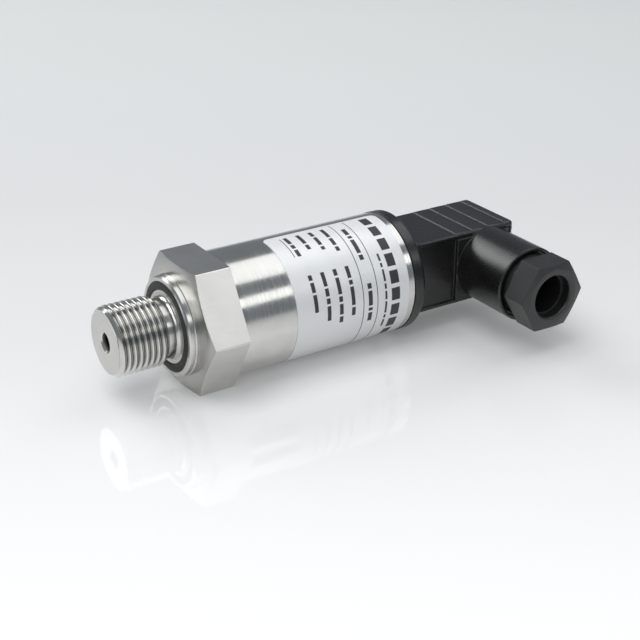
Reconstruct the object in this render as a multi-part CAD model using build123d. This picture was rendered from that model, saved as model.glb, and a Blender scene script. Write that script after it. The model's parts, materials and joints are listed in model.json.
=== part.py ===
from build123d import *
import os
from math import cos, radians, sin, tan

# A pressure transmitter with an angle plug, in millimetres.
# The origin is the centre of the port's seal face. +X runs along the sensor
# axis from the thread towards the plug, the cable gland points to -Y, and +Z
# is up. The transmitter lies on a flat of its hexagon and on its base flange.

# Process connection, a G 1/4 thread with a face seal
thread_diameter = 13.157
thread_length = 12.0
thread_chamfer = 0.6
relief_diameter = 11.2
relief_width = 2.1
relief_corner_radius = 0.8
pressure_bore = 3.5
bore_countersink = 0.25
collar_diameter = 18.9
collar_length = 2.2
collar_nose_length = 1.15
collar_step = 0.15
collar_chamfer = 0.3
seal_inner_diameter = 13.7
seal_outer_diameter = 17.1
seal_groove_depth = 1.5
seal_proud = 0.2
seal_nose_bevel = 0.25

# Hexagon
hex_across_flats = 24.0
hex_thickness = 7.6
hex_chamfer_inset = 0.15
hex_chamfer_angle = 17.0
hex_edge_break = 0.15

# Spigot and measuring cell pocket behind the hexagon
spigot_length = 5.0
cell_floor = 4.2
spigot_wall = 0.9
cell_seat_step = 0.5
cell_thickness = 6.35
cell_pad = 0.1
cell_pocket_clearance = 0.15
cell_ring_inset = 3.0
cell_ring_section = 1.78
cell_ring_squeeze = 0.22
cell_membrane_inset = 1.5
cell_membrane_relief = 0.3
support_ring_land = 2.0
support_ring_thickness = 1.0
clamp_ring_wall = 3.0
clamp_ring_thickness = 2.8
clamp_slot_width = 2.0
clamp_slot_depth = 1.2

# Housing tube and label
tube_set_back = 0.1
tube_wall = 1.5
tube_length = 37.6
tube_edge_chamfer = 0.25
label_thickness = 0.08
label_start = 11.0
label_length = 25.05
label_gap_angle = 34.0
label_gap_place = 68.0
label_corner_radius = 1.2

# Connector base
flange_thickness = 2.4
flange_edge_radius = 0.6
base_spigot_length = 6.0
base_spigot_clearance = 0.05
base_ring_section = 1.8
base_ring_squeeze = 0.25
base_ring_offset = 3.0
base_ring_groove_width = 2.4
base_recess_wall = 2.9
base_recess_depth = 2.5
nut_diameter = 5.0
nut_length = 6.0
nut_knurl_groove = 0.3
nut_groove_width = 1.0

# Contacts, four blades round the centre screw
contact_radius = 4.0
blade_width = 2.8
blade_thickness = 0.5
blade_reach = 9.0
blade_tip_chamfer = 0.2
blade_tail = 3.0
earth_blade_extra = 1.0

# Board, its carrier and the leads
carrier_ring_thickness = 3.0
carrier_clearance = 0.1
carrier_window_room = 2.0
carrier_window_height = 4.0
carrier_rail_length = 20.0
carrier_rail_width = 1.6
carrier_rail_height = 3.2
carrier_slot_depth = 0.8
board_side_room = 2.4
board_thickness = 1.2
board_front_seat = 2.2
board_length = 21.0
chip_length = 7.5
chip_width = 6.0
chip_height = 1.6
chip_leg_count = 5
chip_leg_width = 0.5
chip_leg_reach = 0.9
chip_leg_thickness = 0.2
chip_leg_foot = 0.65
chip_edge_chamfer = 0.2
chip_standoff = 0.1
component_sizes = [(2.0, 1.25, 0.8), (1.6, 0.8, 0.5), (3.2, 1.6, 1.0)]
component_pitch = 3.0
lead_pitch = 2.5
lead_diameter = 0.5
lead_on_board = 1.5
wire_diameter = 0.8
wire_hole_clearance = 0.05
wire_hole_inset = 1.4
wire_rise = 1.4

# Angle plug housing
plug_width = 15.0
plug_height = 15.2
plug_length = 23.7
plug_corner_radius = 0.7
plug_end_radius = 1.0
plug_wall = 1.4
plug_end_wall = 3.2
lip_height = 1.0
wall_set_back = 0.3
neck_pad_height = 13.0
neck_pad_proud = 0.5
neck_pad_end_inset = 1.8
grip_step_count = 4
grip_step_pitch = 4.1
grip_step_height = 0.2
grip_start = 9.1
grip_edge_break = 0.08
mould_button_diameter = 1.1
mould_button_height = 0.15
mould_button_inset = 0.9
release_notch_width = 4.0
release_notch_depth = 1.2
gasket_thickness = 1.5
gasket_window_margin = 1.7
gasket_set_back = 0.15
plug_seat_gap = 0.02

# Gland neck, its axis and its rim measured from the sensor axis
gland_offset = 16.7
neck_diameter = 15.0
neck_reach = 20.9
neck_rim_chamfer = 0.25
neck_mouth_wall = 0.7
neck_mouth_depth = 1.0
gland_thread_diameter = 12.5
gland_running_clearance = 0.05
grommet_pocket_diameter = 11.4
grommet_length = 4.4
grommet_shoulder = 1.9
grommet_bore = 5.5
grommet_mouth_bevel = 0.6
wire_passage_diameter = 8.0
thrust_washer_thickness = 0.8
thrust_washer_bore = 7.0
thrust_washer_clearance = 0.3
thrust_gap = 0.3
washer_screw_gap = 0.03
gland_hex_across_flats = 13.0
gland_hex_thickness = 5.5
gland_hex_gap = 1.5
gland_chamfer_circle = 11.2
gland_chamfer_angle = 13.0
gland_bore = 7.8
gland_mouth_bore = 8.5
gland_mouth_depth = 2.2
gland_mouth_radius = 0.5

# Contact insert inside the plug
insert_clearance = 0.1
insert_length = 14.0
insert_corner_radius = 0.8
socket_width = 3.8
socket_thickness = 2.2
socket_length = 11.0
socket_slot_clearance = 0.05
socket_slot_stop = 0.5
terminal_screw_diameter = 1.6
terminal_head_diameter = 2.4
terminal_head_height = 0.9
terminal_screw_length = 3.0
terminal_driver_slot = 0.4

# Centre screw
screw_diameter = 2.5
screw_hole_clearance = 0.15
screw_nut_clearance = 0.05
screw_engagement = 5.0
screw_head_diameter = 4.4
screw_head_height = 1.7
screw_tip_chamfer = 0.3
screw_head_chamfer = 0.2
screw_slot_width = 0.7
screw_slot_depth = 0.9
screw_well_diameter = 5.4
screw_well_depth = 2.5
washer_diameter = 5.0
washer_thickness = 0.5

# Diameters that follow the hexagon, because the part rests on it and on the flange
hex_chamfer_circle = hex_across_flats - 2 * hex_chamfer_inset
tube_diameter = hex_across_flats - 2 * tube_set_back
flange_diameter = hex_across_flats

# Diameters and widths inside the tube, worked out from its bore
tube_inner_diameter = tube_diameter - 2 * tube_wall
clamp_thread_diameter = tube_inner_diameter - 2 * spigot_wall
clamp_ring_bore = clamp_thread_diameter - 2 * clamp_ring_wall
cell_diameter = clamp_thread_diameter - 2 * cell_seat_step
cell_pocket_diameter = cell_diameter + 2 * cell_pocket_clearance
cell_ring_diameter = cell_diameter - 2 * cell_ring_inset
cell_membrane_diameter = cell_ring_diameter - 2 * cell_membrane_inset
support_ring_bore = cell_diameter - 2 * support_ring_land
board_width = tube_inner_diameter - 2 * board_side_room
carrier_window_width = 3 * lead_pitch + lead_diameter + 2 * carrier_window_room
base_recess_diameter = tube_inner_diameter - 2 * base_recess_wall

# Places along the sensor axis, worked out from the sizes above
hex_front = collar_length
hex_back = hex_front + hex_thickness
spigot_end = hex_back + spigot_length
tube_end = hex_back + tube_length
cell_front = cell_floor + cell_pad
cell_back = cell_front + cell_thickness
support_back = cell_back + support_ring_thickness
clamp_back = support_back + clamp_ring_thickness
base_inner_end = tube_end - base_spigot_length
flange_face = tube_end + flange_thickness
carrier_front = spigot_end
board_front = carrier_front + carrier_ring_thickness - board_front_seat
board_end = board_front + board_length
board_top = board_thickness / 2
gasket_front = flange_face + plug_seat_gap
plug_front = gasket_front + gasket_thickness
plug_end = plug_front + plug_length
cavity_width = plug_width - 2 * plug_wall
cavity_height = plug_height - 2 * plug_wall
cavity_end = plug_end - plug_end_wall
insert_back = plug_front + insert_length
screw_seat = plug_end - screw_well_depth
screw_head_seat = screw_seat + washer_thickness
screw_tip = flange_face - screw_engagement
gland_x = plug_front + gland_offset

# Places outward along the gland axis, from the sensor axis
grommet_seat = cavity_width / 2 + grommet_shoulder
grommet_end = grommet_seat + grommet_length
washer_seat = grommet_end + thrust_gap
washer_back = washer_seat + thrust_washer_thickness
gland_screw_tip = washer_back + washer_screw_gap
gland_hex_back = neck_reach + gland_hex_gap
gland_hex_front = gland_hex_back + gland_hex_thickness
gland_place = Pos(gland_x, 0, 0) * Rot(0, 0, -90)


def turned(*outline):
    """A solid of revolution about the X axis from points (along, radius)."""
    return revolve(make_face(Polyline(*outline, close=True)), Axis.X)


def rod(start, end, diameter, y=0.0, z=0.0):
    """A round bar along X."""
    disc = Plane(origin=(start, y, z), z_dir=(1, 0, 0)) * Circle(diameter / 2)
    return extrude(disc, end - start)


def hexagon(start, end, across_flats):
    """A hexagonal bar along X with flats at the top and bottom."""
    outline = Plane(origin=(start, 0, 0), x_dir=(0, 1, 0), z_dir=(1, 0, 0)) * RegularPolygon(
        across_flats / 2, 6, major_radius=False, rotation=0
    )
    return extrude(outline, end - start)


def block(start, end, width, height, y=0.0, z=0.0, corner=0.0):
    """A bar along X, its corner edges rounded when a radius is given."""
    if corner > 0:
        shape = RectangleRounded(width, height, corner)
    else:
        shape = Rectangle(width, height)
    outline = Plane(origin=(start, y, z), x_dir=(0, 1, 0), z_dir=(1, 0, 0)) * shape
    return extrude(outline, end - start)


def around(shape, angle):
    """The shape turned about the sensor axis by an angle in degrees."""
    return Rot(angle, 0, 0) * shape


# Process connection and cell mounting


def chamfer_cone(face, circle, angle, length, across_flats):
    """A body of revolution that takes the corners off a hexagon's front face."""
    reach = across_flats
    rise = (reach - circle / 2) * tan(radians(angle))
    return turned(
        (face, 0),
        (face, circle / 2),
        (face + rise, reach),
        (face + length + rise, reach),
        (face + length + rise, 0),
    )


def make_pressure_port():
    r_thread = thread_diameter / 2
    r_relief = relief_diameter / 2
    relief_slope = r_thread - r_relief
    threaded_stud = turned(
        (-thread_length, 0),
        (-thread_length, r_thread - thread_chamfer),
        (-thread_length + thread_chamfer, r_thread),
        (-relief_width - relief_slope, r_thread),
        (-relief_width, r_relief),
        (0, r_relief),
        (0, collar_diameter / 2 - collar_chamfer),
        (collar_chamfer, collar_diameter / 2),
        (collar_nose_length, collar_diameter / 2),
        (collar_nose_length + collar_step, collar_diameter / 2 + collar_step),
        (hex_front, collar_diameter / 2 + collar_step),
        (hex_front, 0),
    )
    circles = threaded_stud.edges().filter_by(GeomType.CIRCLE)
    relief_ends = circles.filter_by(lambda edge: abs(edge.radius - r_relief) < 0.001)
    threaded_stud = fillet(relief_ends.sort_by(Axis.X)[-1], relief_corner_radius)
    nut = hexagon(hex_front, hex_back, hex_across_flats)
    nut = chamfer(nut.edges().filter_by(Axis.X), hex_edge_break)
    nut &= chamfer_cone(
        hex_front, hex_chamfer_circle, hex_chamfer_angle, hex_thickness, hex_across_flats
    )
    spigot = rod(hex_back, spigot_end, tube_inner_diameter)
    port = threaded_stud + nut + spigot

    seal_groove = turned(
        (0, seal_inner_diameter / 2),
        (seal_groove_depth, seal_inner_diameter / 2),
        (seal_groove_depth, seal_outer_diameter / 2),
        (0, seal_outer_diameter / 2),
    )
    r_bore = pressure_bore / 2
    bore = turned(
        (-thread_length, 0),
        (-thread_length, r_bore + bore_countersink),
        (-thread_length + bore_countersink, r_bore),
        (cell_floor, r_bore),
        (cell_floor, 0),
    )
    ring_half = cell_ring_section / 2 + cell_ring_squeeze
    ring_groove = turned(
        (cell_floor - cell_ring_section + cell_ring_squeeze, cell_ring_diameter / 2 - ring_half),
        (cell_floor, cell_ring_diameter / 2 - ring_half),
        (cell_floor, cell_ring_diameter / 2 + ring_half),
        (cell_floor - cell_ring_section + cell_ring_squeeze, cell_ring_diameter / 2 + ring_half),
    )
    pocket = rod(cell_floor, spigot_end, cell_pocket_diameter)
    clamp_thread = rod(support_back, spigot_end, clamp_thread_diameter)
    return port - seal_groove - bore - ring_groove - pocket - clamp_thread


def make_port_seal_ring():
    r_in = seal_inner_diameter / 2
    r_out = seal_outer_diameter / 2
    nose = seal_proud + seal_nose_bevel
    return turned(
        (seal_groove_depth, r_in),
        (0, r_in),
        (-seal_proud, r_in + nose),
        (-seal_proud, r_out - nose),
        (0, r_out),
        (seal_groove_depth, r_out),
    )


def pressed_ring(centre, middle_radius, section, squeeze, along_axis):
    """A round cord ring flattened between two faces, about the X axis."""
    flat = section / 2 - squeeze / 2
    wide = section / 2 + squeeze / 2
    half_along, half_across = (flat, wide) if along_axis else (wide, flat)
    oval = Plane.XY * Pos(centre, middle_radius) * Ellipse(half_along, half_across)
    return revolve(oval, Axis.X)


def make_cell_o_ring():
    middle = cell_front - (cell_ring_section - cell_ring_squeeze) / 2
    return pressed_ring(
        middle, cell_ring_diameter / 2, cell_ring_section, cell_ring_squeeze + cell_pad, True
    )


def make_ceramic_cell():
    body = rod(cell_front, cell_back, cell_diameter)
    membrane_relief = rod(cell_front, cell_front + cell_membrane_relief, cell_membrane_diameter)
    return body - membrane_relief


def make_support_ring():
    ring = rod(cell_back, support_back, cell_pocket_diameter)
    return ring - rod(cell_back, support_back, support_ring_bore)


def make_clamp_ring():
    ring = rod(support_back, clamp_back, clamp_thread_diameter)
    ring -= rod(support_back, clamp_back, clamp_ring_bore)
    slot_start = clamp_back - clamp_slot_depth
    return ring - block(slot_start, clamp_back, clamp_thread_diameter, clamp_slot_width)


# Electronics


def make_board_carrier():
    ring_end = carrier_front + carrier_ring_thickness
    ring = rod(carrier_front, ring_end, tube_inner_diameter - 2 * carrier_clearance)
    for side in (1, -1):
        window_z = side * (board_thickness / 2 + carrier_window_height / 2)
        ring -= block(carrier_front, ring_end, carrier_window_width, carrier_window_height, z=window_z)
    rail_centre = board_width / 2 - carrier_slot_depth + carrier_rail_width / 2
    rail_end = ring_end + carrier_rail_length
    for side in (1, -1):
        ring += block(ring_end, rail_end, carrier_rail_width, carrier_rail_height, y=side * rail_centre)
    return ring - block(board_front, rail_end, board_width, board_thickness)


def make_circuit_board():
    board = block(board_front, board_end, board_width, board_thickness)
    hole_radius = wire_diameter / 2 + wire_hole_clearance
    for y in lead_places():
        board -= Pos(board_end - wire_hole_inset, y, 0) * Cylinder(hole_radius, board_thickness)
    return board


def lead_places():
    """The four lead rows across the board."""
    return [(step - 1.5) * lead_pitch for step in range(4)]


def make_cell_leads():
    leads = []
    height = board_top + lead_diameter / 2
    lead_end = board_front + board_front_seat + lead_on_board
    for y in lead_places():
        leads.append(rod(cell_back, lead_end, lead_diameter, y, height))
    return Compound(children=leads)


def make_amplifier_chip():
    middle = (board_front + board_end) / 2
    bottom = board_top + chip_standoff
    body = Pos(middle, 0, bottom + chip_height / 2) * Box(chip_length, chip_width, chip_height)
    body = chamfer(body.faces().sort_by(Axis.Z)[-1].edges(), chip_edge_chamfer)
    pitch = chip_length / chip_leg_count
    leg_half = chip_width / 2 + chip_leg_reach
    knee = bottom + chip_height / 2
    half_thick = chip_leg_thickness / 2
    foot_top = board_top + chip_leg_thickness
    inner = leg_half - chip_leg_foot
    outer = inner + chip_leg_thickness
    for index in range(chip_leg_count):
        x = middle + (index - (chip_leg_count - 1) / 2) * pitch
        leg = Plane(origin=(x - chip_leg_width / 2, 0, 0), x_dir=(0, 1, 0), z_dir=(1, 0, 0)) * make_face(
            Polyline(
                (-leg_half, board_top),
                (-leg_half, foot_top),
                (-outer, foot_top),
                (-outer, knee + half_thick),
                (outer, knee + half_thick),
                (outer, foot_top),
                (leg_half, foot_top),
                (leg_half, board_top),
                (inner, board_top),
                (inner, knee - half_thick),
                (-inner, knee - half_thick),
                (-inner, board_top),
                close=True,
            )
        )
        body += extrude(leg, chip_leg_width)
    return body


def make_board_components():
    """Chip capacitors and resistors in two rows beside the amplifier, and two below."""
    middle = (board_front + board_end) / 2
    parts = []
    for row, x in enumerate((middle - chip_length / 2 - 1.6, middle + chip_length / 2 + 1.8)):
        for column, size in enumerate(component_sizes):
            along, across, tall = size
            y = (column - 1) * component_pitch
            place = Pos(x, y, board_top + tall / 2)
            parts.append(place * Box(across, along, tall))
    for column in (-1, 1):
        along, across, tall = component_sizes[2]
        place = Pos(middle, column * component_pitch, -board_top - tall / 2)
        parts.append(place * Box(along, across, tall))
    return Compound(children=parts)


def blade_angles():
    """Each contact's turn about the sensor axis, 0 for the one above."""
    return {"1": 0, "2": 180, "3": -90, "earth": 90}


def make_lead_wires():
    """Four wires that leave holes at the board's rear edge and curve to the blade tails."""
    wires = []
    rows = dict(zip(("earth", "1", "2", "3"), lead_places()))
    tail_end = base_inner_end + base_recess_depth - blade_tail
    for name, angle in blade_angles().items():
        side = -1 if name == "2" else 1
        turn = radians(angle)
        tail = Vector(tail_end, -contact_radius * sin(turn), contact_radius * cos(turn))
        start = Vector(board_end - wire_hole_inset, rows[name], -side * board_top)
        surface = Vector(start.X, start.Y, side * board_top)
        rise = Vector(0, 0, side * wire_rise)
        beyond_edge = Vector(board_end + wire_diameter, start.Y, side * (board_top + wire_rise))
        curve = Bezier(surface, surface + rise, beyond_edge, tail - Vector(wire_hole_inset, 0, 0), tail)
        path = Wire([Line(start, surface), curve])
        section = Plane(origin=start, z_dir=(0, 0, side)) * Circle(wire_diameter / 2)
        wires.append(sweep(section, path=path))
    return Compound(children=wires)


# Housing


def make_housing_tube():
    r_out = tube_diameter / 2
    r_in = tube_inner_diameter / 2
    return turned(
        (hex_back, r_in),
        (hex_back, r_out),
        (tube_end - tube_edge_chamfer, r_out),
        (tube_end, r_out - tube_edge_chamfer),
        (tube_end, r_in),
    )


def make_rating_label():
    r_in = tube_diameter / 2
    start = hex_back + label_start
    strip = make_face(
        Polyline(
            (start, r_in),
            (start + label_length, r_in),
            (start + label_length, r_in + label_thickness),
            (start, r_in + label_thickness),
            close=True,
        )
    )
    wrap = revolve(strip, Axis.X, 360 - label_gap_angle)
    straight = wrap.edges().filter_by(GeomType.LINE)
    corners = straight.filter_by(lambda edge: edge.length < 2 * label_thickness)
    wrap = fillet(corners, label_corner_radius)
    return around(wrap, label_gap_place + label_gap_angle / 2)


# Connector base and contacts


def make_connector_base():
    spigot_radius = tube_inner_diameter / 2 - base_spigot_clearance
    ring_floor = tube_inner_diameter / 2 - base_ring_section + base_ring_squeeze
    ring_middle = tube_end - base_ring_offset
    groove_half = base_ring_groove_width / 2
    r_flange = flange_diameter / 2
    base = turned(
        (base_inner_end, 0),
        (base_inner_end, spigot_radius),
        (ring_middle - groove_half, spigot_radius),
        (ring_middle - groove_half, ring_floor),
        (ring_middle + groove_half, ring_floor),
        (ring_middle + groove_half, spigot_radius),
        (tube_end, spigot_radius),
        (tube_end, r_flange),
        (flange_face, r_flange),
        (flange_face, 0),
    )
    outer_edge = base.edges().filter_by(GeomType.CIRCLE).group_by(Axis.X)[-1].sort_by(SortBy.RADIUS)[-1]
    base = fillet(outer_edge, flange_edge_radius)
    base -= rod(base_inner_end, base_inner_end + base_recess_depth, base_recess_diameter)
    base -= rod(flange_face - nut_length, flange_face, nut_diameter)
    base -= rod(base_inner_end, flange_face, screw_diameter + 2 * screw_hole_clearance)
    slot = block(base_inner_end, flange_face, blade_width, blade_thickness, z=contact_radius)
    for angle in blade_angles().values():
        base -= around(slot, angle)
    return base


def make_base_o_ring():
    middle = tube_end - base_ring_offset
    middle_radius = tube_inner_diameter / 2 - (base_ring_section - base_ring_squeeze) / 2
    return pressed_ring(middle, middle_radius, base_ring_section, base_ring_squeeze, False)


def make_base_nut():
    r_nut = nut_diameter / 2
    start = flange_face - nut_length
    middle = flange_face - nut_length / 2
    groove_half = nut_groove_width / 2
    r_hole = screw_diameter / 2 + screw_nut_clearance
    return turned(
        (start, r_hole),
        (start, r_nut),
        (middle - groove_half, r_nut),
        (middle - groove_half, r_nut - nut_knurl_groove),
        (middle + groove_half, r_nut - nut_knurl_groove),
        (middle + groove_half, r_nut),
        (flange_face, r_nut),
        (flange_face, r_hole),
    )


def make_blade(angle, extra=0.0):
    start = base_inner_end + base_recess_depth - blade_tail
    end = flange_face + blade_reach + extra
    blade = block(start, end, blade_width, blade_thickness, z=contact_radius)
    tip_edges = blade.faces().sort_by(Axis.X)[-1].edges().filter_by(Axis.Y)
    blade = chamfer(tip_edges, blade_tip_chamfer)
    return around(blade, angle)


# Angle plug


def make_plug_gasket():
    width = plug_width - 2 * gasket_set_back
    height = plug_height - 2 * gasket_set_back
    gasket = block(gasket_front, plug_front, width, height, corner=plug_corner_radius)
    window_width = width - 2 * gasket_window_margin
    window_height = height - 2 * gasket_window_margin
    return gasket - block(gasket_front, plug_front, window_width, window_height, corner=plug_corner_radius)


def grip_cuts(side):
    """What is taken off the top or bottom wall: a flat strip, then sloping grip steps."""
    surface = side * plug_height / 2
    low = side * (plug_height / 2 - grip_step_height)
    outside = side * plug_height
    first = plug_front + grip_start
    outlines = [[(plug_front, low), (first, low), (first, outside), (plug_front, outside)]]
    for index in range(grip_step_count):
        start = first + index * grip_step_pitch
        is_last = index == grip_step_count - 1
        end = plug_end if is_last else start + grip_step_pitch
        corner = [(start, surface - side * grip_edge_break), (start + grip_edge_break, surface)]
        outlines.append(corner + [(end, low), (end, outside), (start, outside)])
    faces = [Plane.XZ * make_face(Polyline(*outline, close=True)) for outline in outlines]
    return [extrude(face, plug_width, both=True) for face in faces]


def side_wall_cut(side):
    """The side wall lies a little behind two lips, short of the rounded end."""
    height = plug_height - 2 * lip_height
    length = plug_length - plug_end_radius
    return Pos(plug_front + length / 2, side * plug_width / 2, 0) * Box(length, 2 * wall_set_back, height)


def make_plug_housing():
    box = block(plug_front, plug_end, plug_width, plug_height, corner=plug_corner_radius)
    end_face = box.faces().sort_by(Axis.X)[-1]
    box = fillet(end_face.edges(), plug_end_radius)
    for side in (1, -1):
        for cut in grip_cuts(side):
            box -= cut
        box -= side_wall_cut(side)

    wall = plug_width / 2 - wall_set_back
    pad_start = plug_front + grip_start
    pad_length = plug_end - neck_pad_end_inset - pad_start
    pad_face = plug_width / 2 + neck_pad_proud
    pad_depth = pad_face - wall + plug_wall / 2
    pad_place = Pos(pad_start + pad_length / 2, pad_depth / 2 - pad_face, 0)
    box += pad_place * Box(pad_length, pad_depth, neck_pad_height)
    button_x = plug_end - mould_button_inset
    button_z = neck_pad_height / 2 - mould_button_inset / 2
    for side in (1, -1):
        place = Pos(button_x, -wall, side * button_z) * Rot(90, 0, 0)
        box += place * Cylinder(mould_button_diameter / 2, 2 * mould_button_height)

    neck_root = wall - plug_wall / 2
    neck = gland_place * turned(
        (neck_root, 0),
        (neck_root, neck_diameter / 2),
        (neck_reach - neck_rim_chamfer, neck_diameter / 2),
        (neck_reach, neck_diameter / 2 - neck_rim_chamfer),
        (neck_reach, 0),
    )
    housing = box + neck

    cavity = block(plug_front, cavity_end, cavity_width, cavity_height, corner=insert_corner_radius)
    well = rod(screw_seat, plug_end, screw_well_diameter)
    screw_hole = rod(cavity_end, plug_end, screw_diameter + 2 * screw_hole_clearance)
    thread_radius = gland_thread_diameter / 2 + gland_running_clearance
    mouth_radius = neck_diameter / 2 - neck_mouth_wall
    mouth_floor = neck_reach - neck_mouth_depth
    passage = gland_place * turned(
        (0, 0),
        (0, wire_passage_diameter / 2),
        (grommet_seat, wire_passage_diameter / 2),
        (grommet_seat, grommet_pocket_diameter / 2),
        (grommet_end, grommet_pocket_diameter / 2),
        (grommet_end, thread_radius),
        (mouth_floor, thread_radius),
        (mouth_floor, mouth_radius),
        (neck_reach, mouth_radius),
        (neck_reach, 0),
    )
    notch = Box(2 * release_notch_depth, 2 * plug_wall, release_notch_width)
    notch = Pos(plug_front, plug_width / 2, 0) * notch
    return housing - cavity - well - screw_hole - passage - notch


def make_contact_insert():
    width = cavity_width - 2 * insert_clearance
    height = cavity_height - 2 * insert_clearance
    body = block(plug_front, insert_back, width, height, corner=insert_corner_radius)
    body -= rod(plug_front, insert_back, screw_diameter + 2 * screw_hole_clearance)
    pocket_front = insert_back - socket_length
    for angle in blade_angles().values():
        pocket = block(pocket_front, insert_back, socket_width, socket_thickness, z=contact_radius)
        mouth = block(
            plug_front,
            pocket_front,
            blade_width + 2 * socket_slot_clearance,
            blade_thickness + 2 * socket_slot_clearance,
            z=contact_radius,
        )
        body -= around(pocket + mouth, angle)
    return body


def make_contact_socket(angle):
    front = insert_back - socket_length
    body = block(front, insert_back, socket_width, socket_thickness, z=contact_radius)
    slot_end = insert_back - terminal_screw_length - socket_slot_stop
    slot = block(
        front,
        slot_end,
        blade_width + 2 * socket_slot_clearance,
        blade_thickness + 2 * socket_slot_clearance,
        z=contact_radius,
    )
    hole = rod(insert_back - terminal_screw_length, insert_back, terminal_screw_diameter, z=contact_radius)
    return around(body - slot - hole, angle)


def make_terminal_screws():
    screws = []
    start = insert_back - terminal_screw_length
    head_end = insert_back + terminal_head_height
    for angle in blade_angles().values():
        shank = rod(start, insert_back, terminal_screw_diameter, z=contact_radius)
        head = rod(insert_back, head_end, terminal_head_diameter, z=contact_radius)
        slot = block(
            head_end - terminal_head_height / 2,
            head_end,
            terminal_head_diameter,
            terminal_driver_slot,
            z=contact_radius,
        )
        screws.append(around(shank + head - slot, angle))
    return Compound(children=screws)


def make_centre_screw():
    r_shank = screw_diameter / 2
    r_head = screw_head_diameter / 2
    head_end = screw_head_seat + screw_head_height
    screw = turned(
        (screw_tip, 0),
        (screw_tip, r_shank - screw_tip_chamfer),
        (screw_tip + screw_tip_chamfer, r_shank),
        (screw_head_seat, r_shank),
        (screw_head_seat, r_head),
        (head_end - screw_head_chamfer, r_head),
        (head_end, r_head - screw_head_chamfer),
        (head_end, 0),
    )
    return screw - block(head_end - screw_slot_depth, head_end, screw_head_diameter, screw_slot_width)


def make_screw_washer():
    ring = rod(screw_seat, screw_head_seat, washer_diameter)
    return ring - rod(screw_seat, screw_head_seat, screw_diameter + 2 * screw_hole_clearance)


# Cable gland


def make_cable_grommet():
    r_out = grommet_pocket_diameter / 2
    r_in = grommet_bore / 2
    return gland_place * turned(
        (grommet_seat, r_in),
        (grommet_seat, r_out),
        (grommet_end, r_out),
        (grommet_end, r_in + grommet_mouth_bevel),
        (grommet_end - grommet_mouth_bevel, r_in),
    )


def make_thrust_washer():
    r_out = gland_thread_diameter / 2 - thrust_washer_clearance
    return gland_place * turned(
        (washer_seat, thrust_washer_bore / 2),
        (washer_seat, r_out),
        (washer_back, r_out),
        (washer_back, thrust_washer_bore / 2),
    )


def make_gland_screw():
    shank = rod(gland_screw_tip, gland_hex_back, gland_thread_diameter)
    head = hexagon(gland_hex_back, gland_hex_front, gland_hex_across_flats)
    reach = gland_hex_across_flats
    drop = (reach - gland_chamfer_circle / 2) * tan(radians(gland_chamfer_angle))
    head &= turned(
        (gland_hex_back, 0),
        (gland_hex_back, reach),
        (gland_hex_front - drop, reach),
        (gland_hex_front, gland_chamfer_circle / 2),
        (gland_hex_front, 0),
    )
    mouth_floor = gland_hex_front - gland_mouth_depth
    passage = turned(
        (gland_screw_tip, 0),
        (gland_screw_tip, gland_bore / 2),
        (mouth_floor, gland_bore / 2),
        (mouth_floor, gland_mouth_bore / 2),
        (gland_hex_front, gland_mouth_bore / 2),
        (gland_hex_front, 0),
    )
    screw = shank + head - passage
    mouth_edge = screw.edges().filter_by(GeomType.CIRCLE).group_by(Axis.X)[-1].sort_by(SortBy.RADIUS)[0]
    return gland_place * fillet(mouth_edge, gland_mouth_radius)


parts = {
    "pressure_port": make_pressure_port(),
    "port_seal_ring": make_port_seal_ring(),
    "cell_o_ring": make_cell_o_ring(),
    "ceramic_cell": make_ceramic_cell(),
    "support_ring": make_support_ring(),
    "clamp_ring": make_clamp_ring(),
    "cell_leads": make_cell_leads(),
    "board_carrier": make_board_carrier(),
    "circuit_board": make_circuit_board(),
    "amplifier_chip": make_amplifier_chip(),
    "board_components": make_board_components(),
    "lead_wires": make_lead_wires(),
    "housing_tube": make_housing_tube(),
    "rating_label": make_rating_label(),
    "connector_base": make_connector_base(),
    "base_o_ring": make_base_o_ring(),
    "base_nut": make_base_nut(),
    "plug_gasket": make_plug_gasket(),
    "plug_housing": make_plug_housing(),
    "contact_insert": make_contact_insert(),
    "terminal_screws": make_terminal_screws(),
    "centre_screw": make_centre_screw(),
    "screw_washer": make_screw_washer(),
    "cable_grommet": make_cable_grommet(),
    "thrust_washer": make_thrust_washer(),
    "gland_screw": make_gland_screw(),
}
for name, angle in blade_angles().items():
    is_earth = name == "earth"
    blade_name = "earth_blade" if is_earth else f"contact_blade_{name}"
    socket_name = "earth_socket" if is_earth else f"contact_socket_{name}"
    parts[blade_name] = make_blade(angle, earth_blade_extra if is_earth else 0.0)
    parts[socket_name] = make_contact_socket(angle)

os.makedirs("parts", exist_ok=True)
for name, shape in parts.items():
    export_step(shape, f"parts/{name}.step")
    box = shape.bounding_box()
    print(name, round(shape.volume, 1), [round(v, 2) for v in box.min], [round(v, 2) for v in box.max])
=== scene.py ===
# %% [markdown]
# # Dressing a pressure transmitter
# The real object is a short steel instrument. A threaded port takes the pressure, a round steel tube
# holds the electronics, and a black angle plug brings the cable out at the side.
# The solids come from the CAD model with their sizes and places already right, so Blender is only used
# for what a solid can't show: the cut thread, the print on the label, and the finish of each material.
# The first step loads the solids and keeps the size of their box.

# %% Load the solids
import json
from math import atan2, cos, degrees, hypot, pi, radians, sin

import bpy
from mathutils import Euler, Matrix, Vector

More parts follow.
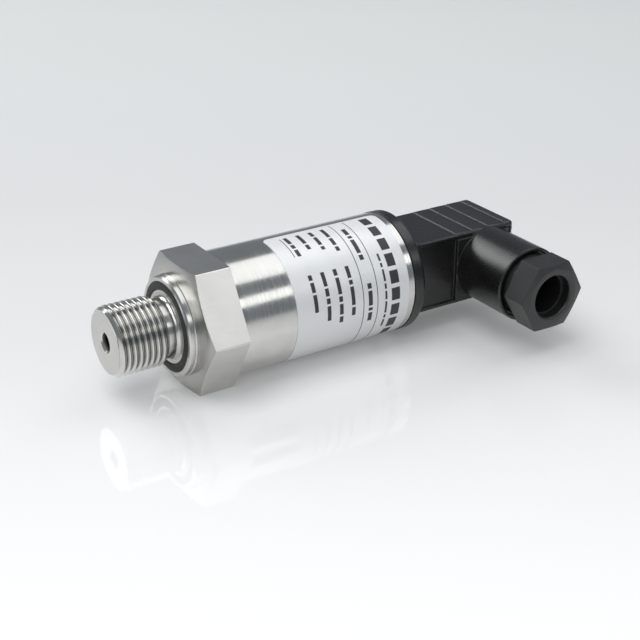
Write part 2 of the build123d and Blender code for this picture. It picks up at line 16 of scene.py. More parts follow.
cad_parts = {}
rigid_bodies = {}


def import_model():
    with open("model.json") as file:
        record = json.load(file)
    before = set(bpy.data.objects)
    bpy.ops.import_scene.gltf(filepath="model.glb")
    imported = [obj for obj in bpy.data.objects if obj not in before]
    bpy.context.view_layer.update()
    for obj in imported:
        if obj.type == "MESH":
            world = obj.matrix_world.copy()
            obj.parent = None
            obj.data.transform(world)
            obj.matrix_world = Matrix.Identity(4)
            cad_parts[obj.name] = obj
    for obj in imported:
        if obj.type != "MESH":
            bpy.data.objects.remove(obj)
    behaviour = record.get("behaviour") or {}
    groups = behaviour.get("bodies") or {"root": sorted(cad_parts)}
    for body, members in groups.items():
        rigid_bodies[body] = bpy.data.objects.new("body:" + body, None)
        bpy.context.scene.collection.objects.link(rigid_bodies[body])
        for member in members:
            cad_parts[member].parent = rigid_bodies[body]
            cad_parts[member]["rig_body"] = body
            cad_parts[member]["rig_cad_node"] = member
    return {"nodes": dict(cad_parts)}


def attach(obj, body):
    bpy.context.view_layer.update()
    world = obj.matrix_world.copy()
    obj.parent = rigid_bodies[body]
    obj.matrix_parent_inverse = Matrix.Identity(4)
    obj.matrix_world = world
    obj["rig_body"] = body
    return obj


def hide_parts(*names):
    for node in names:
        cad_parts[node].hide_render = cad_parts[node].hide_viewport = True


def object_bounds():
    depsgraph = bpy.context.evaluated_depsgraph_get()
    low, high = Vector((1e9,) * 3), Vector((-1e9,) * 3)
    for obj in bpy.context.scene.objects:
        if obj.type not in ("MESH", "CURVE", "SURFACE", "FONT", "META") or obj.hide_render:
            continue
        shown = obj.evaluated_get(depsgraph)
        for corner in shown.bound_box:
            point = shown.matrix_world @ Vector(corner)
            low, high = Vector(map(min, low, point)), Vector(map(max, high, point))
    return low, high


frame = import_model()
solid_low, solid_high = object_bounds()
MM = 0.001
print("solids:", len(frame["nodes"]), "box in mm:", [round(c / MM, 2) for c in (solid_high - solid_low)])

# %% [markdown]
# A picture of a product is taken with a long lens, so that near and far parts keep nearly the same scale.
# A camera can be turned by hand until it looks right. Here its turn is given as two angles, how far round
# the object it stands and how far above the table it looks down, because both can be read off a photograph.
# A camera looks along its own minus Z, so it is first tipped up from looking at its feet, and then turned.

# %% Camera
camera_azimuth = radians(-32.860)
camera_elevation = radians(25.488)
camera_roll = radians(0.166)
camera_place = Vector((-94.50, -197.71, 105.08)) * MM
bpy.ops.object.camera_add(location=camera_place)
camera = bpy.context.object
camera_turn = Euler((pi / 2 - camera_elevation, 0, camera_azimuth)).to_matrix()
camera.rotation_euler = (camera_turn @ Matrix.Rotation(camera_roll, 3, "Z")).to_euler()
camera.data.lens = 74.94
camera.data.sensor_width = 36
camera.data.clip_start = 0.01
bpy.context.scene.camera = camera
bpy.context.scene.view_settings.view_transform = "Standard"
print("camera looks down by", round(degrees(camera_elevation), 1), "degrees")

# %% [markdown]
# Materials are made of nodes. A shader node says how light leaves the surface, and texture nodes feed it
# with patterns. Every pattern here is read at the Object coordinates of the surface, so it stays fixed in
# the piece, like a grain in wood, and needs no picture. These helpers make the nodes that come back again
# and again: a speckled grain of a given size, a value between two limits, a colour between two others,
# and fine relief. Lengths are given to them in millimetres.

# %% Helpers for finishes
def new_finish(name, metallic):
    """A material with one shader, and the Object coordinates that its patterns read."""
    finish = bpy.data.materials.new(name)
    finish.use_nodes = True
    shader = finish.node_tree.nodes["Principled BSDF"]
    shader.inputs["Metallic"].default_value = metallic
    where = finish.node_tree.nodes.new("ShaderNodeTexCoord").outputs["Object"]
    return finish, shader, where


def add_node(finish, kind, inputs=(), **settings):
    """A node with its settings, and its inputs set or linked by name or number."""
    node = finish.node_tree.nodes.new(kind)
    for setting, value in settings.items():
        setattr(node, setting, value)
    for socket, value in inputs:
        if isinstance(value, bpy.types.NodeSocket):
            finish.node_tree.links.new(value, node.inputs[socket])
        else:
            node.inputs[socket].default_value = value
    return node


def grain(finish, where, size, stretch=(1, 1, 1), detail=3.0):
    """A cloudy pattern from 0 to 1 whose specks are about size mm, drawn out along any axis by stretch."""
    mapping = add_node(finish, "ShaderNodeMapping", [("Vector", where)])
    mapping.inputs["Scale"].default_value = [1 / (size * MM * s) for s in stretch]
    return add_node(finish, "ShaderNodeTexNoise", [("Vector", mapping.outputs[0]), ("Scale", 1.0),
                                                   ("Detail", detail)]).outputs[0]


noise_low, noise_high = 0.25, 0.75
dark_until, light_from = 0.3, 0.7


def between(finish, pattern, low, high):
    """The pattern, which seldom leaves the middle half of 0 to 1, spread over the values from low to high."""
    return add_node(finish, "ShaderNodeMapRange", [("Value", pattern), ("From Min", noise_low),
                                                   ("From Max", noise_high), ("To Min", low),
                                                   ("To Max", high)]).outputs[0]


def tint(finish, pattern, dark, light):
    """A colour between dark and light, by the pattern."""
    ramp = add_node(finish, "ShaderNodeValToRGB", [("Fac", pattern)])
    first, last = ramp.color_ramp.elements
    first.position, first.color = dark_until, (*dark, 1)
    last.position, last.color = light_from, (*light, 1)
    return ramp.outputs[0]


def feed(finish, shader, **sockets):
    """Links patterns to the shader's inputs: Base_Color means the socket called Base Color."""
    for socket, value in sockets.items():
        finish.node_tree.links.new(value, shader.inputs[socket.replace("_", " ")])


def relief(finish, shader, height, depth, strength=1.0, edge=0.0):
    """Fine relief of the given depth in mm. With an edge, light glances off edges as if they were that round,
    in mm. Neither moves the surface."""
    bump = add_node(finish, "ShaderNodeBump", [("Height", height), ("Distance", depth * MM),
                                               ("Strength", strength)])
    if edge:
        soft_edge = add_node(finish, "ShaderNodeBevel", [("Radius", edge * MM)], samples=6)
        finish.node_tree.links.new(soft_edge.outputs[0], bump.inputs["Normal"])
    finish.node_tree.links.new(bump.outputs[0], shader.inputs["Normal"])


print("helpers ready")

# %% [markdown]
# A lathe leaves rings: round a turned cylinder they differ along the axis, and on a faced end they differ
# with the distance from the axis. One pattern does both if it reads the place along X and the distance
# from X, which is found with a little vector arithmetic. The hexagon isn't turned but drawn through a die,
# which leaves faint lines along the bar instead. The tube is ground and fine brushed round.
# All are the same steel, so they share its colour and differ in their lines and their sheen, but the faced ends
# get a darker copy of that colour as painted shade. Little light gets out of the bottom of a thread groove or
# of a drilled hole, so there the steel's colour gets painted shade that darkens with the depth.

# %% Steel
steel_shade, steel_light = (0.62, 0.61, 0.585), (0.68, 0.67, 0.645)
painted_depth_shade = (1.0, 0.985, 0.945)
not_stretched, along_the_bar = (1, 1, 1), (80, 1, 1)
steel_cloud_size = 5.0


def times(share, colour):
    """The colour, made darker by a share."""
    return [share * part for part in colour]


def ring_place(finish, where):
    """Coordinates that are the same all the way round a ring: along the axis, and the distance from it."""
    split = add_node(finish, "ShaderNodeSeparateXYZ", [(0, where)])
    across = add_node(finish, "ShaderNodeCombineXYZ", [("Y", split.outputs["Y"]), ("Z", split.outputs["Z"])])
    radius = add_node(finish, "ShaderNodeVectorMath", [(0, across.outputs[0])], operation="LENGTH")
    return add_node(finish, "ShaderNodeCombineXYZ", [("X", split.outputs["X"]),
                                                     ("Y", radius.outputs["Value"])]).outputs[0]


def steel_finish(name, turned, line_size, depth, low, high, bright=1.0):
    """Steel with fine lines, as rough as from low to high: rings round the axis, or streaks along the bar. A
    bright under 1 darkens its colour as painted shade.
    """
    finish, shader, where = new_finish(name, 1.0)
    place = ring_place(finish, where) if turned else where
    lines = grain(finish, place, line_size, not_stretched if turned else along_the_bar, detail=2.0)
    clouds = grain(finish, where, steel_cloud_size)
    feed(finish, shader,
         Base_Color=tint(finish, clouds, times(bright, steel_shade), times(bright, steel_light)),
         Roughness=between(finish, lines, low, high))
    relief(finish, shader, lines, depth, 0.6)
    return finish


def paint_shade_in_depths(finish, measure, deep, high, darkest):
    """Paints shade into the steel's colour from high down to deep, in mm from the axis (measure Y) or along it
    (measure X).
    """
    shader = finish.node_tree.nodes["Principled BSDF"]
    where = finish.node_tree.nodes["Texture Coordinate"].outputs["Object"]
    place = add_node(finish, "ShaderNodeSeparateXYZ", [(0, ring_place(finish, where))]).outputs[measure]
    share = add_node(finish, "ShaderNodeMapRange", [("Value", place), ("From Min", deep * MM),
                                                    ("From Max", high * MM)]).outputs[0]
    feed(finish, shader, Base_Color=tint(finish, share, times(darkest, painted_depth_shade), steel_light))


turned_steel = steel_finish("turned_steel", True, 0.15, 0.0006, 0.16, 0.26)
drawn_steel = steel_finish("drawn_steel", False, 0.08, 0.00005, 0.27, 0.30)
drilled_steel = steel_finish("drilled_steel", True, 0.20, 0.0020, 0.55, 0.70)
brushed_tube = steel_finish("brushed_tube", True, 0.30, 0.0012, 0.10, 0.26)
thread_steel = steel_finish("thread_steel", True, 0.05, 0.0001, 0.17, 0.22)
# The faced ends get a darker colour here, as painted shade.
faced_steel = steel_finish("faced_steel", True, 0.15, 0.0006, 0.26, 0.36, bright=0.72)
# Painted shade: the thread's roots and the deep end of the bore are darkened in their colour.
paint_shade_in_depths(thread_steel, "Y", 5.85, 6.48, 0.32)
paint_shade_in_depths(drilled_steel, "X", -10.4, -12.6, 0.03)
port_finishes = (turned_steel, drawn_steel, drilled_steel, thread_steel, faced_steel)
print("steel finishes:", [finish.name for finish in (*port_finishes, brushed_tube)])

# %% [markdown]
# The plug, the gland screw and the flange are nylon with glass fibre in it. Fresh from the mould it is
# satin black: the mould's fine even grain makes it shine softly, and more so at a low angle. Two blacks
# that drift into each other keep it from looking like ink. Its edges come out of the mould a little round.
# They aren't modelled one by one here: the Bevel node turns the light at an edge as a small round would.
# The gland screw also shows a hairline where its mould closed. Rubber is duller, with a coarser grain.

# %% Black plastic and rubber
black_shine = 0.7
sheen_spread = 0.05


def black_finish(name, dark, light, roughness, grain_size, depth, edge):
    """Plastic or rubber between two greys, with a grain and soft edges."""
    finish, shader, where = new_finish(name, 0.0)
    shader.inputs["Specular IOR Level"].default_value = black_shine
    specks = grain(finish, where, grain_size, detail=4.0)
    clouds = grain(finish, where, 3.0)
    feed(finish, shader,
         Base_Color=tint(finish, clouds, (dark,) * 3, (light, light, light * 1.04)),
         Roughness=between(finish, specks, roughness - sheen_spread, roughness + sheen_spread))
    relief(finish, shader, specks, depth, 0.5, edge)
    return finish


moulded_black = black_finish("moulded_black", 0.005, 0.008, 0.28, 0.16, 0.0007, 0.35)
gland_black = black_finish("gland_black", 0.012, 0.016, 0.38, 0.20, 0.0015, 0.15)
seal_rubber = black_finish("seal_rubber", 0.012, 0.018, 0.62, 0.35, 0.006, 0.10)


def mould_seam(finish, distance, width, depth=0.05):
    """A hairline that deep, as far above as below the axis by the distance, all in mm."""
    tree = finish.node_tree
    shader = tree.nodes["Principled BSDF"]
    where = tree.nodes["Texture Coordinate"].outputs["Object"]
    height = add_node(finish, "ShaderNodeSeparateXYZ", [(0, where)]).outputs["Z"]
    height = add_node(finish, "ShaderNodeMath", [(0, height)], operation="ABSOLUTE").outputs[0]
    line = add_node(finish, "ShaderNodeMath", [(0, height), (1, distance * MM), (2, width * MM)],
                    operation="COMPARE").outputs[0]
    bump = add_node(finish, "ShaderNodeBump", [("Height", line), ("Distance", depth * MM), ("Strength", 0.8),
                                               ("Normal", shader.inputs["Normal"].links[0].from_socket)],
                    invert=True)
    tree.links.new(bump.outputs[0], shader.inputs["Normal"])


mould_seam(gland_black, 4.6, 0.06)
print("black finishes:", moulded_black.name, gland_black.name, seal_rubber.name)

# %% [markdown]
# The label is a polyester film with a thin layer of metal on its back. It is nearly white with a soft, even
# sheen and no lines, which a shader gives that is only partly metallic. The print is a matt dark ink on it.

# %% Label foil and ink
foil, shader, where = new_finish("label_foil", 0.30)
mottle = grain(foil, where, 0.35)
feed(foil, shader,
     Base_Color=tint(foil, grain(foil, where, 6.0), (0.87, 0.872, 0.872), (0.91, 0.911, 0.910)),
     Roughness=between(foil, mottle, 0.40, 0.48))
relief(foil, shader, mottle, 0.0022, 0.5, 0.05)

ink, shader, where = new_finish("label_ink", 0.0)
speckle = grain(ink, where, 0.12)
feed(ink, shader,
     Base_Color=tint(ink, speckle, (0.030, 0.032, 0.036), (0.042, 0.044, 0.050)),
     Roughness=between(ink, speckle, 0.42, 0.52))
relief(ink, shader, speckle, 0.0005, 0.4)
print("label finishes:", foil.name, ink.name)

# %% [markdown]
# Most of the pieces inside can't be seen, but the part can be opened in another scene, so each gets the
# finish of what it is made of. They are small and plain, so one recipe serves: a colour that drifts a
# little, an even sheen, and a grain of the size that the material has. Every node of the solids says in its
# own slots what it is made of, so a loop can hand the finishes out.

# %% Finishes of the pieces inside
inner_sheen_spread = 0.04


def small_part_finish(name, dark, light, metallic, roughness, grain_size, depth):
    """A plain finish between two colours, with the grain's size and depth in mm."""
    finish, shader, where = new_finish(name, metallic)
    specks = grain(finish, where, grain_size)
    feed(finish, shader,
         Base_Color=tint(finish, specks, dark, light),
         Roughness=between(finish, specks, roughness - inner_sheen_spread, roughness + inner_sheen_spread))
    relief(finish, shader, specks, depth, 0.5)
    return finish


finish_of_slot = {
    "stainless": brushed_tube,
    "black_seal": seal_rubber,
    "black_plastic": moulded_black,
    "foil_label": foil,
    "ceramic": small_part_finish("sintered_ceramic", (0.80, 0.78, 0.72), (0.86, 0.84, 0.79),
                                 0, 0.45, 0.3, 0.003),
    "white_plastic": small_part_finish("white_moulding", (0.74, 0.73, 0.70), (0.79, 0.78, 0.75),
                                       0, 0.4, 0.4, 0.003),
    "brass": small_part_finish("turned_brass", (0.66, 0.48, 0.20), (0.76, 0.57, 0.27),
                               1, 0.28, 0.15, 0.002),
    "board_green": small_part_finish("solder_mask", (0.012, 0.11, 0.045), (0.02, 0.15, 0.06),
                                     0, 0.3, 0.8, 0.004),
    "chip_black": small_part_finish("moulded_chip", (0.02, 0.02, 0.021), (0.03, 0.03, 0.031),
                                    0, 0.55, 0.1, 0.003),
    "chip_ceramic": small_part_finish("fired_chip", (0.30, 0.21, 0.14), (0.40, 0.29, 0.20),
                                      0, 0.5, 0.1, 0.002),
    "tinned_wire": small_part_finish("tinned_metal", (0.66, 0.66, 0.64), (0.76, 0.76, 0.74),
                                     1, 0.3, 0.2, 0.001),
    "wire_insulation": small_part_finish("wire_sleeve", (0.30, 0.03, 0.02), (0.38, 0.05, 0.03),
                                         0, 0.4, 0.5, 0.002),
    "zinc_steel": small_part_finish("zinc_plating", (0.62, 0.64, 0.67), (0.74, 0.76, 0.79),
                                    1, 0.26, 0.3, 0.001),
}
for node in frame["nodes"].values():
    for place_in_list, old in enumerate(list(node.data.materials)):
        node.data.materials[place_in_list] = finish_of_slot[old.name.split(".")[0]]
frame["nodes"]["gland_screw"].data.materials[0] = gland_black
print("nodes with a finish:", len(frame["nodes"]))

# %% [markdown]
# New pieces are modelled in edit mode. An edit tool works on everything that is selected, so each step
# starts by clearing the selection, and picks vertices, edges or faces by a rule about their place.
# These helpers are for that, for adding a modifier and making its result the mesh itself, and for telling
# how far round the axis a place lies.

# %% Helpers for modelling
def select_only(piece):
    """Selects the piece alone and makes it the active one."""
    for other in bpy.context.selected_objects:
        other.select_set(False)
    piece.select_set(True)
    bpy.context.view_layer.objects.active = piece


def pick(piece, kind, rule):
    """Selects the piece's vertices, edges or faces for which the rule holds, and nothing else."""
    bpy.ops.object.mode_set(mode="EDIT")
    bpy.ops.mesh.select_mode(type={"vertices": "VERT", "edges": "EDGE", "polygons": "FACE"}[kind])
    bpy.ops.mesh.select_all(action="DESELECT")
    bpy.ops.object.mode_set(mode="OBJECT")
    chosen = 0
    for element in getattr(piece.data, kind):
        element.select = bool(rule(element))
        chosen += element.select
    bpy.ops.object.mode_set(mode="EDIT")
    return chosen


def apply_modifier(piece, kind, **settings):
    """Adds a modifier, sets it, and makes its result the mesh itself."""
    select_only(piece)
    modifier = piece.modifiers.new(kind.lower(), kind)
    for setting, value in settings.items():
        setattr(modifier, setting, value)
    bpy.ops.object.modifier_apply(modifier=modifier.name)


def around(vector):
    """The angle of a place round the axis, in degrees from the top towards the cable gland."""
    return degrees(atan2(-vector.y, vector.z))


print("modelling helpers ready")

# %% [markdown]
# The thread is cut on a lathe with a tool of 55 degrees, whose tip and shoulders are rounded. Its crests lie
# 1.125 mm apart in the photograph, a little closer than the standard has them for this diameter. Here it is
# cut too, with a cutter in the shape of the groove. This cell works out the outline of that groove. Its depth
# and its rounding are shares of the pitch, as in the standard for such threads. The groove is left a little
# narrower than the pitch, so that its turns never touch.

# %% Profile of the thread groove
thread_pitch = 1.125 * MM
thread_radius = 13.157 / 2 * MM
thread_root_radius = thread_radius - 0.640327 * thread_pitch
thread_rounding = 0.137329 * thread_pitch
flank_angle = radians(55 / 2)
crest_land = 0.02 * MM
cutter_overhang = 0.3 * MM
shares_of_a_rounding = (0, 1 / 3, 2 / 3, 1)


def groove_side():
    """Half of the groove as (offset along the axis, distance from the axis), from its root outwards."""
    bottom, shoulder = [], []
    for share in shares_of_a_rounding:
        turn = share * (pi / 2 - flank_angle)
        bottom.append((thread_rounding * sin(turn), thread_root_radius + thread_rounding * (1 - cos(turn))))
        shoulder.append((thread_pitch / 2 - thread_rounding * sin(turn),
                         thread_radius - thread_rounding * (1 - cos(turn))))
    shoulder[0] = (thread_pitch / 2 - crest_land, thread_radius - 0.001 * MM)
    outside = (thread_pitch / 2 - crest_land, thread_radius + cutter_overhang)
    return bottom + shoulder[::-1] + [outside]


side = groove_side()
groove_outline = [(-offset, height) for offset, height in side[:0:-1]] + side
groove_depth = thread_radius - thread_root_radius
print("groove points:", len(groove_outline), "depth in mm:", round(groove_depth / MM, 3))

# %% [markdown]
# A helix is hard to draw but easy to wind. A circle with as many points as the outline is added and its points
# are moved onto it. Then the Screw modifier turns that loop round the axis and moves it on by one pitch a
# turn. Its two open ends are filled, so that it is a closed body, as the Boolean in the next step needs.
# It starts outside the tip and ends in the relief behind the thread, which gives the lead-in and the run-out
# that a real cut has.

# %% Wind the groove round the axis
thread_start = -13.30 * MM
thread_turns = 11
steps_per_turn = 60
bpy.ops.mesh.primitive_circle_add(vertices=len(groove_outline), radius=1 * MM)
groove_cutter = bpy.context.object
groove_cutter.name = "groove_cutter"
for vertex, (offset, height) in zip(groove_cutter.data.vertices, groove_outline):
    vertex.co = (thread_start + offset, 0, height)
apply_modifier(groove_cutter, "SCREW", axis="X", angle=2 * pi * thread_turns,
               screw_offset=thread_pitch * thread_turns, steps=steps_per_turn * thread_turns,
               render_steps=steps_per_turn * thread_turns, iterations=1)
bpy.ops.object.mode_set(mode="EDIT")
bpy.ops.mesh.select_all(action="SELECT")
bpy.ops.mesh.fill_holes(sides=0)
bpy.ops.mesh.normals_make_consistent(inside=False)
bpy.ops.object.mode_set(mode="OBJECT")
cutter_places = [vertex.co.x / MM for vertex in groove_cutter.data.vertices]
print("cutter from", round(min(cutter_places), 2), "to", round(max(cutter_places), 2), "mm")

# %% [markdown]
# The port is a copy of the solid, without the two marks that tie a node of the solids to its body. A solid
# from CAD arrives as loose triangles, so the copy's doubled vertices are merged before the cut, which gives
# the Boolean a closed body to work on. The Boolean then takes the winding out of the port, and the cutter
# has done its work and is removed.

# %% Cut the thread
port = frame["nodes"]["pressure_port"].copy()
port.data = port.data.copy()
port.name = "threaded_port"
port.parent = None
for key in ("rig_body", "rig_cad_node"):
    del port[key]
bpy.context.collection.objects.link(port)
select_only(port)
bpy.ops.object.mode_set(mode="EDIT")
bpy.ops.mesh.select_all(action="SELECT")
bpy.ops.mesh.remove_doubles(threshold=0.0005 * MM)
bpy.ops.mesh.customdata_custom_splitnormals_clear()
bpy.ops.object.mode_set(mode="OBJECT")
before_cut = len(port.data.polygons)
apply_modifier(port, "BOOLEAN", operation="DIFFERENCE", solver="EXACT", object=groove_cutter)
bpy.data.objects.remove(groove_cutter)
print("port faces before and after the cut:", before_cut, len(port.data.polygons))

# %% [markdown]
# One bar of steel has five finishes: turned, drawn on the hexagon's flats, drilled in the bore, cut in the
# thread, and faced on the ends. Each face gets the one of the place where it lies, which is read from how far
# it is from the axis and which way it points. Faces that meet at more than 25 degrees keep a sharp edge
# between them. The flanks of the thread meet the faced end at little more than that, and stay sharp too.

# %% Give the port its finishes
TURNED, DRAWN, DRILLED, THREADED, FACED = range(5)
hexagon_flat_radius = 12.0 * MM
bore_radius = 3.5 / 2 * MM
bore_wall = 1.01 * bore_radius
bore_countersink = 1.3 * bore_radius
stud_surface = 1.01 * thread_radius
thread_from, thread_to = -11.3 * MM, -2.6 * MM
faces_the_end = 0.95
sharp_from = radians(25)
flat_directions = [Vector((0, sin(radians(turn)), cos(radians(turn)))) for turn in range(0, 360, 60)]


def in_a_flat(places):
    """Whether all the places lie in the plane of one of the hexagon's flats."""
    return any(all(abs(place.dot(direction) - hexagon_flat_radius) < 0.002 * MM for place in places)
               for direction in flat_directions)


def finish_at(face):
    """The number of the finish that the face has on the real port."""
    from_axis = hypot(face.center.y, face.center.z)
    if in_a_flat([face.center]):
        return DRAWN
    if from_axis < bore_wall:
        return DRILLED
    if abs(face.normal.x) > faces_the_end:
        return FACED
    if thread_from < face.center.x < thread_to and bore_countersink < from_axis < stud_surface:
        return THREADED
    return TURNED


port.data.materials.clear()
for finish in port_finishes:
    port.data.materials.append(finish)
for face in port.data.polygons:
    face.material_index = finish_at(face)
select_only(port)
bpy.ops.object.shade_smooth_by_angle(angle=sharp_from)
for number, finish in enumerate(port_finishes):
    print("faces of", finish.name, sum(face.material_index == number for face in port.data.polygons))

# %% [markdown]
# The edges of the hexagon are sharp in the solid. On the real bar they are a tenth of a millimetre round,
# and that little round is what shines as a thin line. Limited Dissolve makes each flat one face, so the
# edges in a flat's plane that run along the bar are then just the long ones, and Bevel rounds them all.
# Harden Normals keeps the large flats evenly shaded beside their small rounds. The port is then finished: it
# moves with the transmitter, and the solid that it was copied from is hidden.

# %% Round the hexagon's edges
edge_round = 0.13 * MM
lies_in_plane = radians(0.3)
pick(port, "polygons", lambda face: face.material_index == DRAWN)
bpy.ops.mesh.dissolve_limited(angle_limit=lies_in_plane)


def between_flats(edge):
    """Whether the edge is one of the long ones where two flats meet."""
    ends = [port.data.vertices[end].co for end in edge.vertices]
    return in_a_flat(ends) and hypot((ends[0] - ends[1]).y, (ends[0] - ends[1]).z) < 0.001 * MM


rounded = pick(port, "edges", between_flats)
bpy.ops.mesh.bevel(offset=edge_round, segments=3, affect="EDGES", clamp_overlap=True, harden_normals=True)
bpy.ops.object.mode_set(mode="OBJECT")
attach(port, "transmitter")
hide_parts("pressure_port")
print("edges rounded:", rounded, "faces:", len(port.data.polygons))

# %% [markdown]
# A part that is used again in other scenes has a label that could be anybody's, so the print is only bars and
# rules in a layout of its own. Each row starts as one straight edge just under the label's surface, which
# Spin turns into a band all round the tube. The gaps between the bars are faces that are picked by their
# angle and deleted, so every bar is curved as the label is. The helper for it is made first.

# %% Bands of ink
ink_radius = 11.975 * MM
band_steps = 360
label_edge_margin = 20
ink_rows = []


def label_angle(place):
    """The angle round the axis, counted on from near the label's edge, so that it never jumps on the label."""
    return (around(place) + label_edge_margin) % 360 - label_edge_margin


def ink_band(x_from, x_to, bars):
    """A band of ink from x_from to x_to mm, kept only where a bar covers it, from and to in degrees."""
    bpy.ops.mesh.primitive_plane_add(size=1 * MM)
    band = bpy.context.object
    for vertex in band.data.vertices:
        vertex.co = (x_to * MM if vertex.co.x > 0 else x_from * MM, 0, ink_radius)
    select_only(band)
    bpy.ops.object.mode_set(mode="EDIT")
    bpy.ops.mesh.select_all(action="SELECT")
    bpy.ops.mesh.remove_doubles(threshold=0.001 * MM)
    bpy.ops.mesh.spin(steps=band_steps, angle=2 * pi, center=(0, 0, 0), axis=(1, 0, 0))
    bpy.ops.mesh.select_all(action="SELECT")
    bpy.ops.mesh.remove_doubles(threshold=0.001 * MM)
    bpy.ops.object.mode_set(mode="OBJECT")
    pick(band, "polygons", lambda face: not any(low < label_angle(face.center) < high for low, high in bars))
    bpy.ops.mesh.delete(type="FACE")
    bpy.ops.mesh.select_all(action="SELECT")
    bpy.ops.mesh.normals_make_consistent(inside=False)
    bpy.ops.object.mode_set(mode="OBJECT")
    ink_rows.append(band)


def row_of_bars(start, widths, gap=2):
    """Bars of the given widths in degrees, one after another from start, with a gap between them."""
    bars = []
    for width in widths:
        bars.append((start, start + width))
        start += width + gap
    return bars


print("a band has", band_steps, "faces before its gaps are cut")

# %% [markdown]
# On the front half of the label a row of bold bars stands at the plug's end, then two long rules with a line of
# bars between them and short cross rules, and then four rows of short bars in two columns. The back half has
# its own rows, so that the label looks printed from all sides. Angles count from the top, over the side that
# the gland is on.

# %% Rows of the print
long_rule = (-2.5, 318)
ink_band(41.7, 43.6, row_of_bars(0, (12,) * 10, gap=4))
ink_band(40.2, 40.65, row_of_bars(46, (7, 4, 11, 5, 8, 12, 4, 9)))
ink_band(38.4, 38.55, [long_rule])
ink_band(35.2, 35.35, [long_rule])
ink_band(35.35, 38.4, [(62.5, 63.5), (169.5, 170.5)])
ink_band(36.4, 37.3, row_of_bars(10, (9, 3, 15, 5)) + row_of_bars(70, (5, 14, 3, 9)))
ink_band(32.6, 33.4, row_of_bars(2, (14, 9, 5)) + row_of_bars(50, (11, 4, 17, 8)))
ink_band(29.9, 30.7, row_of_bars(2, (8, 11, 4)) + row_of_bars(50, (6, 15, 5, 10, 6)))
ink_band(27.2, 28.0, row_of_bars(2, (15, 6)) + row_of_bars(50, (13, 7, 5, 14)))
ink_band(24.5, 25.3, row_of_bars(2, (11, 5, 8)) + row_of_bars(50, (5, 9, 16)))
ink_band(23.75, 23.9, [(2, 30)])
ink_band(36.4, 37.3, row_of_bars(180, (12, 5, 9, 17, 4)) + row_of_bars(250, (8, 15, 6, 11)))
ink_band(32.4, 33.0, row_of_bars(180, (9, 14, 6, 11, 18, 5, 8, 13)))
ink_band(30.4, 31.0, row_of_bars(180, (15, 7, 12, 5, 9, 16, 11)))
ink_band(28.4, 29.0, row_of_bars(180, (6, 11, 17, 8, 13, 5, 10, 7)))
ink_band(26.4, 27.0, row_of_bars(180, (13, 5, 8, 15, 7)))
ink_band(23.6, 23.75, [(180, 300)])
print("rows of ink:", len(ink_rows))

# %% [markdown]
# The rows become one piece with Join, and Solidify gives the ink its thickness, outwards, so that it stands
# less than a hundredth of a millimetre over the foil. Flat shading suits faces as narrow as these. The print
# moves with the transmitter.

# %% Join the ink
ink_thickness = 0.012 * MM
select_only(ink_rows[0])
for row in ink_rows:
    row.select_set(True)
bpy.ops.object.join()
print_on_label = bpy.context.object
print_on_label.name = "label_print"
apply_modifier(print_on_label, "SOLIDIFY", thickness=ink_thickness, offset=1.0)
print_on_label.data.materials.clear()
print_on_label.data.materials.append(ink)
for face in print_on_label.data.polygons:
    face.material_index = 0
    face.use_smooth = False
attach(print_on_label, "transmitter")
ink_reach = max(hypot(vertex.co.y, vertex.co.z) for vertex in print_on_label.data.vertices)
print("ink reaches", round(ink_reach / MM, 4), "mm from the axis")

# %% [markdown]
# Product pictures like this one are taken on a glossy pale table, which gives a faint mirrored image.
# The table is one large plane. Its grey gets lighter towards the camera, as it would if it curved up behind
# the object, and a little lighter again far behind, where less of the lamps' light arrives. The gradient is
# painted on the table in its own coordinates, and stays there when the camera moves. A fifth of the colour is
# added as a glow that only the camera, mirroring surfaces and clear ones see. It makes the table paler
# without any more light on the object, and leaves the shadow in place.

# %% Floor
floor_height = solid_low.z - 0.01 * MM
floor_size = 6
gradient_near, gradient_far = -0.07, 0.30
greys_between = ((0.13, 0.74), (0.27, 0.67), (0.46, 0.635))
glow_share = 0.20
bpy.ops.mesh.primitive_plane_add(size=floor_size, location=(0, 0, floor_height))
floor = bpy.context.object
floor.name = "floor"
floor_finish, shader, where = new_finish("pale_table", 0.0)
turned = add_node(floor_finish, "ShaderNodeMapping", [("Vector", where), ("Rotation", (0, 0, -camera_azimuth))])
distance_back = add_node(floor_finish, "ShaderNodeSeparateXYZ", [(0, turned.outputs[0])]).outputs["Y"]
share = add_node(floor_finish, "ShaderNodeMapRange", [("Value", distance_back), ("From Min", gradient_near),
                                                      ("From Max", gradient_far)]).outputs[0]
ramp = add_node(floor_finish, "ShaderNodeValToRGB", [("Fac", share)])
stops = ramp.color_ramp.elements
stops[0].position, stops[0].color = 0.0, (0.815, 0.815, 0.81, 1)
stops[1].position, stops[1].color = 1.0, (0.685, 0.70, 0.69, 1)
for position, grey in greys_between:
    stop = stops.new(position)
    stop.color = (grey, grey, grey, 1)
feed(floor_finish, shader, Base_Color=ramp.outputs[0],
     Roughness=between(floor_finish, grain(floor_finish, where, 40), 0.03, 0.045))
shader.inputs["Specular IOR Level"].default_value = 0.35
ray = add_node(floor_finish, "ShaderNodeLightPath").outputs
seen = add_node(floor_finish, "ShaderNodeMath", [(0, ray["Is Camera Ray"]), (1, ray["Is Glossy Ray"])])
seen = add_node(floor_finish, "ShaderNodeMath", [(0, seen.outputs[0]), (1, ray["Is Transmission Ray"])])
glow = add_node(floor_finish, "ShaderNodeMath", [(0, seen.outputs[0]), (1, glow_share)], operation="MULTIPLY")
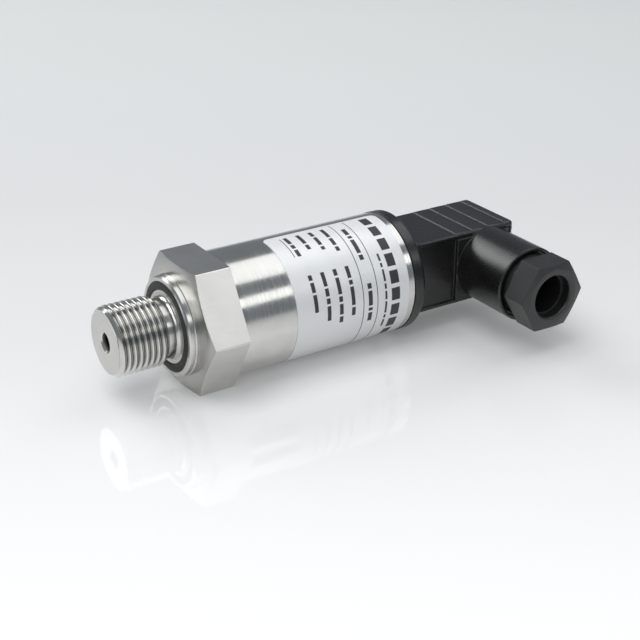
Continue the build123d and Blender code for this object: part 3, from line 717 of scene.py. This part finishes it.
feed(floor_finish, shader, Emission_Color=ramp.outputs[0], Emission_Strength=glow.outputs[0])
floor.data.materials.append(floor_finish)
print("floor at", round(floor_height / MM, 2), "mm")

# %% [markdown]
# Shiny metal has no look of its own: it shows the room. A studio therefore keeps the room dim, which gives
# the dark bands, and hangs large soft lamps where a bright band is wanted. For the light bands along the
# tube, one lamp hangs overhead and a narrow one stands low in front. A lamp high on the left does most of the
# lighting of the table, and the tube doesn't mirror it, because it turns its side to it. The lamp at the back
# is where the plug's round neck mirrors it, and gives the neck its soft light. The last one hangs a little
# above the camera and fills in what faces the viewer, such as the label.

# %% Lamps and room
scene_centre = Vector((25, 0, 0)) * MM


def soft_lamp(name, azimuth, elevation, distance, width, height, watts):
    """A lamp that faces the object from an azimuth, in degrees from plus X towards plus Y, and an elevation."""
    azimuth, elevation = radians(azimuth), radians(elevation)
    direction = Vector((cos(azimuth) * cos(elevation), sin(azimuth) * cos(elevation), sin(elevation)))
    place = scene_centre + distance * direction
    turn = (scene_centre - place).to_track_quat("-Z", "Y").to_euler()
    bpy.ops.object.light_add(type="AREA", location=place, rotation=turn)
    lamp = bpy.context.object
    lamp.name = name
    lamp.data.shape = "RECTANGLE"
    lamp.data.size, lamp.data.size_y = width, height
    lamp.data.energy = watts
    return lamp


lamps = [
    soft_lamp("overhead_lamp", 3.5, 58.4, 0.82, 0.62, 0.56, 1.36),
    soft_lamp("front_lamp", -56, 30.5, 0.90, 0.60, 0.22, 0.58),
    soft_lamp("left_lamp", 178, 71, 0.90, 0.66, 0.66, 3.9),
    soft_lamp("back_lamp", 105, 34, 0.90, 0.60, 0.40, 2.9),
    soft_lamp("fill_lamp", -128, 42, 0.90, 0.60, 0.60, 1.6),
]
room = bpy.data.worlds.new("dim_studio")
bpy.context.scene.world = room
room.use_nodes = True
room_light = room.node_tree.nodes["Background"]
room_light.inputs["Color"].default_value = (0.82, 0.91, 1.0, 1)
room_light.inputs["Strength"].default_value = 0.25
print("lamps:", [lamp.name for lamp in lamps])
